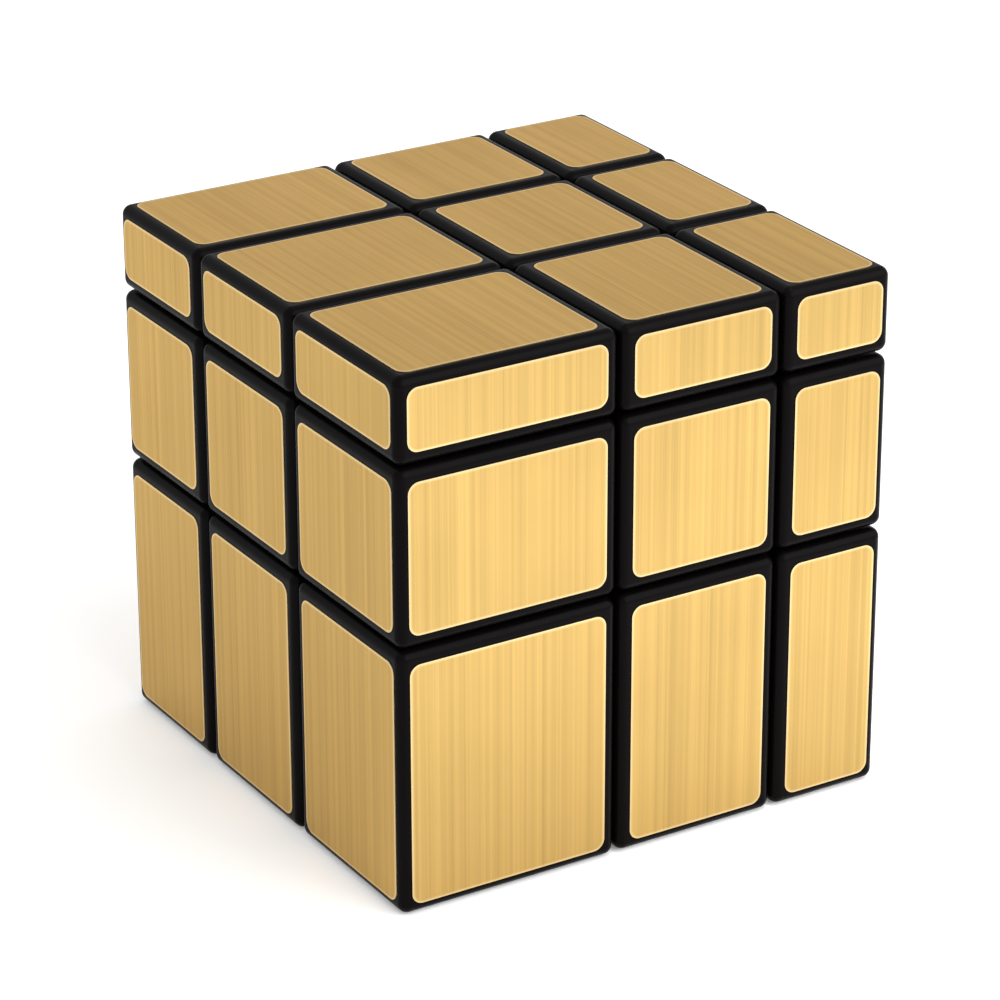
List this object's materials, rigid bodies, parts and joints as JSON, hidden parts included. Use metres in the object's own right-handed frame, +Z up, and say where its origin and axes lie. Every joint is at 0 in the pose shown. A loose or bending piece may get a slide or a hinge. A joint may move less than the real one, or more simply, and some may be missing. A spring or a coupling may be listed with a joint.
{
  "type": "mirror block cube",
  "caption": "Twisting cube puzzle with layers of unequal thickness, black blocks with gold faces on a spring-loaded core.",
  "frame": {"origin": "bottom centre of the solved cube", "axes": "+Z up through the thin top layer, -Y towards the front face, +X towards the right face"},
  "size_m": [0.057, 0.057, 0.057],
  "materials": {
    "shell_plastic": "black moulded ABS, lightly polished",
    "inner_plastic": "black moulded ABS, as moulded",
    "steel": "zinc-plated steel",
    "gold_foil": "brushed gold metallised film stickers"
  },
  "bodies": {
    "core_spider": {"core": "inner_plastic", "top_screw": "steel", "bottom_screw": "steel", "front_screw": "steel", "back_screw": "steel", "left_screw": "steel", "right_screw": "steel"},
    "top_hub": {"top_washer": "steel", "top_spring": "steel"},
    "bottom_hub": {"bottom_washer": "steel", "bottom_spring": "steel"},
    "front_hub": {"front_washer": "steel", "front_spring": "steel"},
    "back_hub": {"back_washer": "steel", "back_spring": "steel"},
    "left_hub": {"left_washer": "steel", "left_spring": "steel"},
    "right_hub": {"right_washer": "steel", "right_spring": "steel"},
    "top_centre": {"top_centre_base": "inner_plastic", "top_centre_cap": "shell_plastic"},
    "bottom_centre": {"bottom_centre_base": "inner_plastic", "bottom_centre_cap": "shell_plastic"},
    "front_centre": {"front_centre_base": "inner_plastic", "front_centre_cap": "shell_plastic"},
    "back_centre": {"back_centre_base": "inner_plastic", "back_centre_cap": "shell_plastic"},
    "left_centre": {"left_centre_base": "inner_plastic", "left_centre_cap": "shell_plastic"},
    "right_centre": {"right_centre_base": "inner_plastic", "right_centre_cap": "shell_plastic"},
    "top_front_edge_piece": {"top_front_edge": "shell_plastic"},
    "top_back_edge_piece": {"top_back_edge": "shell_plastic"},
    "bottom_front_edge_piece": {"bottom_front_edge": "shell_plastic"},
    "bottom_back_edge_piece": {"bottom_back_edge": "shell_plastic"},
    "top_left_edge_piece": {"top_left_edge": "shell_plastic"},
    "top_right_edge_piece": {"top_right_edge": "shell_plastic"},
    "bottom_left_edge_piece": {"bottom_left_edge": "shell_plastic"},
    "bottom_right_edge_piece": {"bottom_right_edge": "shell_plastic"},
    "front_left_edge_piece": {"front_left_edge": "shell_plastic"},
    "front_right_edge_piece": {"front_right_edge": "shell_plastic"},
    "back_left_edge_piece": {"back_left_edge": "shell_plastic"},
    "back_right_edge_piece": {"back_right_edge": "shell_plastic"},
    "top_front_left_corner_piece": {"top_front_left_corner_shell": "shell_plastic", "top_front_left_corner_foot": "inner_plastic"},
    "top_front_right_corner_piece": {"top_front_right_corner_shell": "shell_plastic", "top_front_right_corner_foot": "inner_plastic"},
    "top_back_left_corner_piece": {"top_back_left_corner_shell": "shell_plastic", "top_back_left_corner_foot": "inner_plastic"},
    "top_back_right_corner_piece": {"top_back_right_corner_shell": "shell_plastic", "top_back_right_corner_foot": "inner_plastic"},
    "bottom_front_left_corner_piece": {"bottom_front_left_corner_shell": "shell_plastic", "bottom_front_left_corner_foot": "inner_plastic"},
    "bottom_front_right_corner_piece": {"bottom_front_right_corner_shell": "shell_plastic", "bottom_front_right_corner_foot": "inner_plastic"},
    "bottom_back_left_corner_piece": {"bottom_back_left_corner_shell": "shell_plastic", "bottom_back_left_corner_foot": "inner_plastic"},
    "bottom_back_right_corner_piece": {"bottom_back_right_corner_shell": "shell_plastic", "bottom_back_right_corner_foot": "inner_plastic"}
  },
  "joints": [
    {"name": "top_turn", "type": "hinge", "parent": "core_spider", "child": "top_hub", "pos_m": [0.006, 0.0018, 0.0382], "axis": [0, 0, 1], "continuous": true},
    {"name": "bottom_turn", "type": "hinge", "parent": "core_spider", "child": "bottom_hub", "pos_m": [0.006, 0.0018, 0.0382], "axis": [0, 0, 1], "continuous": true},
    {"name": "front_turn", "type": "hinge", "parent": "core_spider", "child": "front_hub", "pos_m": [0.006, 0.0018, 0.0382], "axis": [0, 1, 0], "continuous": true},
    {"name": "back_turn", "type": "hinge", "parent": "core_spider", "child": "back_hub", "pos_m": [0.006, 0.0018, 0.0382], "axis": [0, 1, 0], "continuous": true},
    {"name": "left_turn", "type": "hinge", "parent": "core_spider", "child": "left_hub", "pos_m": [0.006, 0.0018, 0.0382], "axis": [1, 0, 0], "continuous": true},
    {"name": "right_turn", "type": "hinge", "parent": "core_spider", "child": "right_hub", "pos_m": [0.006, 0.0018, 0.0382], "axis": [1, 0, 0], "continuous": true},
    {"name": "top_centre_lift", "type": "slide", "parent": "top_hub", "child": "top_centre", "axis": [0, 0, 1], "range_m": [0, 0.0008], "stiffness_N_per_m": 1500, "springref_m": -0.003, "deforming": ["top_spring"]},
    {"name": "bottom_centre_lift", "type": "slide", "parent": "bottom_hub", "child": "bottom_centre", "axis": [0, 0, -1], "range_m": [0, 0.0008], "stiffness_N_per_m": 1500, "springref_m": -0.003, "deforming": ["bottom_spring"]},
    {"name": "front_centre_lift", "type": "slide", "parent": "front_hub", "child": "front_centre", "axis": [0, -1, 0], "range_m": [0, 0.0008], "stiffness_N_per_m": 1500, "springref_m": -0.003, "deforming": ["front_spring"]},
    {"name": "back_centre_lift", "type": "slide", "parent": "back_hub", "child": "back_centre", "axis": [0, 1, 0], "range_m": [0, 0.0008], "stiffness_N_per_m": 1500, "springref_m": -0.003, "deforming": ["back_spring"]},
    {"name": "left_centre_lift", "type": "slide", "parent": "left_hub", "child": "left_centre", "axis": [-1, 0, 0], "range_m": [0, 0.0008], "stiffness_N_per_m": 1500, "springref_m": -0.003, "deforming": ["left_spring"]},
    {"name": "right_centre_lift", "type": "slide", "parent": "right_hub", "child": "right_centre", "axis": [1, 0, 0], "range_m": [0, 0.0008], "stiffness_N_per_m": 1500, "springref_m": -0.003, "deforming": ["right_spring"]},
    {"name": "top_front_edge_with_top", "type": "hinge", "parent": "front_hub", "child": "top_front_edge_piece", "pos_m": [0.006, 0.0018, 0.0382], "axis": [0, 0, 1], "continuous": true},
    {"name": "top_back_edge_with_top", "type": "hinge", "parent": "back_hub", "child": "top_back_edge_piece", "pos_m": [0.006, 0.0018, 0.0382], "axis": [0, 0, 1], "continuous": true},
    {"name": "bottom_front_edge_with_bottom", "type": "hinge", "parent": "front_hub", "child": "bottom_front_edge_piece", "pos_m": [0.006, 0.0018, 0.0382], "axis": [0, 0, 1], "continuous": true},
    {"name": "bottom_back_edge_with_bottom", "type": "hinge", "parent": "back_hub", "child": "bottom_back_edge_piece", "pos_m": [0.006, 0.0018, 0.0382], "axis": [0, 0, 1], "continuous": true},
    {"name": "top_left_edge_with_left", "type": "hinge", "parent": "top_hub", "child": "top_left_edge_piece", "pos_m": [0.006, 0.0018, 0.0382], "axis": [1, 0, 0], "continuous": true},
    {"name": "top_right_edge_with_right", "type": "hinge", "parent": "top_hub", "child": "top_right_edge_piece", "pos_m": [0.006, 0.0018, 0.0382], "axis": [1, 0, 0], "continuous": true},
    {"name": "bottom_left_edge_with_left", "type": "hinge", "parent": "bottom_hub", "child": "bottom_left_edge_piece", "pos_m": [0.006, 0.0018, 0.0382], "axis": [1, 0, 0], "continuous": true},
    {"name": "bottom_right_edge_with_right", "type": "hinge", "parent": "bottom_hub", "child": "bottom_right_edge_piece", "pos_m": [0.006, 0.0018, 0.0382], "axis": [1, 0, 0], "continuous": true},
    {"name": "front_left_edge_with_front", "type": "hinge", "parent": "left_hub", "child": "front_left_edge_piece", "pos_m": [0.006, 0.0018, 0.0382], "axis": [0, 1, 0], "continuous": true},
    {"name": "front_right_edge_with_front", "type": "hinge", "parent": "right_hub", "child": "front_right_edge_piece", "pos_m": [0.006, 0.0018, 0.0382], "axis": [0, 1, 0], "continuous": true},
    {"name": "back_left_edge_with_back", "type": "hinge", "parent": "left_hub", "child": "back_left_edge_piece", "pos_m": [0.006, 0.0018, 0.0382], "axis": [0, 1, 0], "continuous": true},
    {"name": "back_right_edge_with_back", "type": "hinge", "parent": "right_hub", "child": "back_right_edge_piece", "pos_m": [0.006, 0.0018, 0.0382], "axis": [0, 1, 0], "continuous": true},
    {"name": "top_front_left_corner_with_left", "type": "hinge", "parent": "top_front_edge_piece", "child": "top_front_left_corner_piece", "pos_m": [0.006, 0.0018, 0.0382], "axis": [1, 0, 0], "continuous": true},
    {"name": "top_front_right_corner_with_right", "type": "hinge", "parent": "top_front_edge_piece", "child": "top_front_right_corner_piece", "pos_m": [0.006, 0.0018, 0.0382], "axis": [1, 0, 0], "continuous": true},
    {"name": "top_back_left_corner_with_left", "type": "hinge", "parent": "top_back_edge_piece", "child": "top_back_left_corner_piece", "pos_m": [0.006, 0.0018, 0.0382], "axis": [1, 0, 0], "continuous": true},
    {"name": "top_back_right_corner_with_right", "type": "hinge", "parent": "top_back_edge_piece", "child": "top_back_right_corner_piece", "pos_m": [0.006, 0.0018, 0.0382], "axis": [1, 0, 0], "continuous": true},
    {"name": "bottom_front_left_corner_with_left", "type": "hinge", "parent": "bottom_front_edge_piece", "child": "bottom_front_left_corner_piece", "pos_m": [0.006, 0.0018, 0.0382], "axis": [1, 0, 0], "continuous": true},
    {"name": "bottom_front_right_corner_with_right", "type": "hinge", "parent": "bottom_front_edge_piece", "child": "bottom_front_right_corner_piece", "pos_m": [0.006, 0.0018, 0.0382], "axis": [1, 0, 0], "continuous": true},
    {"name": "bottom_back_left_corner_with_left", "type": "hinge", "parent": "bottom_back_edge_piece", "child": "bottom_back_left_corner_piece", "pos_m": [0.006, 0.0018, 0.0382], "axis": [1, 0, 0], "continuous": true},
    {"name": "bottom_back_right_corner_with_right", "type": "hinge", "parent": "bottom_back_edge_piece", "child": "bottom_back_right_corner_piece", "pos_m": [0.006, 0.0018, 0.0382], "axis": [1, 0, 0], "continuous": true}
  ],
  "couplings": [
    {"joint": "top_front_edge_with_top", "follows": "top_turn", "ratio": 1},
    {"joint": "top_back_edge_with_top", "follows": "top_turn", "ratio": 1},
    {"joint": "bottom_front_edge_with_bottom", "follows": "bottom_turn", "ratio": 1},
    {"joint": "bottom_back_edge_with_bottom", "follows": "bottom_turn", "ratio": 1},
    {"joint": "top_left_edge_with_left", "follows": "left_turn", "ratio": 1},
    {"joint": "top_right_edge_with_right", "follows": "right_turn", "ratio": 1},
    {"joint": "bottom_left_edge_with_left", "follows": "left_turn", "ratio": 1},
    {"joint": "bottom_right_edge_with_right", "follows": "right_turn", "ratio": 1},
    {"joint": "front_left_edge_with_front", "follows": "front_turn", "ratio": 1},
    {"joint": "front_right_edge_with_front", "follows": "front_turn", "ratio": 1},
    {"joint": "back_left_edge_with_back", "follows": "back_turn", "ratio": 1},
    {"joint": "back_right_edge_with_back", "follows": "back_turn", "ratio": 1},
    {"joint": "top_front_left_corner_with_left", "follows": "left_turn", "ratio": 1},
    {"joint": "top_front_right_corner_with_right", "follows": "right_turn", "ratio": 1},
    {"joint": "top_back_left_corner_with_left", "follows": "left_turn", "ratio": 1},
    {"joint": "top_back_right_corner_with_right", "follows": "right_turn", "ratio": 1},
    {"joint": "bottom_front_left_corner_with_left", "follows": "left_turn", "ratio": 1},
    {"joint": "bottom_front_right_corner_with_right", "follows": "right_turn", "ratio": 1},
    {"joint": "bottom_back_left_corner_with_left", "follows": "left_turn", "ratio": 1},
    {"joint": "bottom_back_right_corner_with_right", "follows": "right_turn", "ratio": 1}
  ]
}
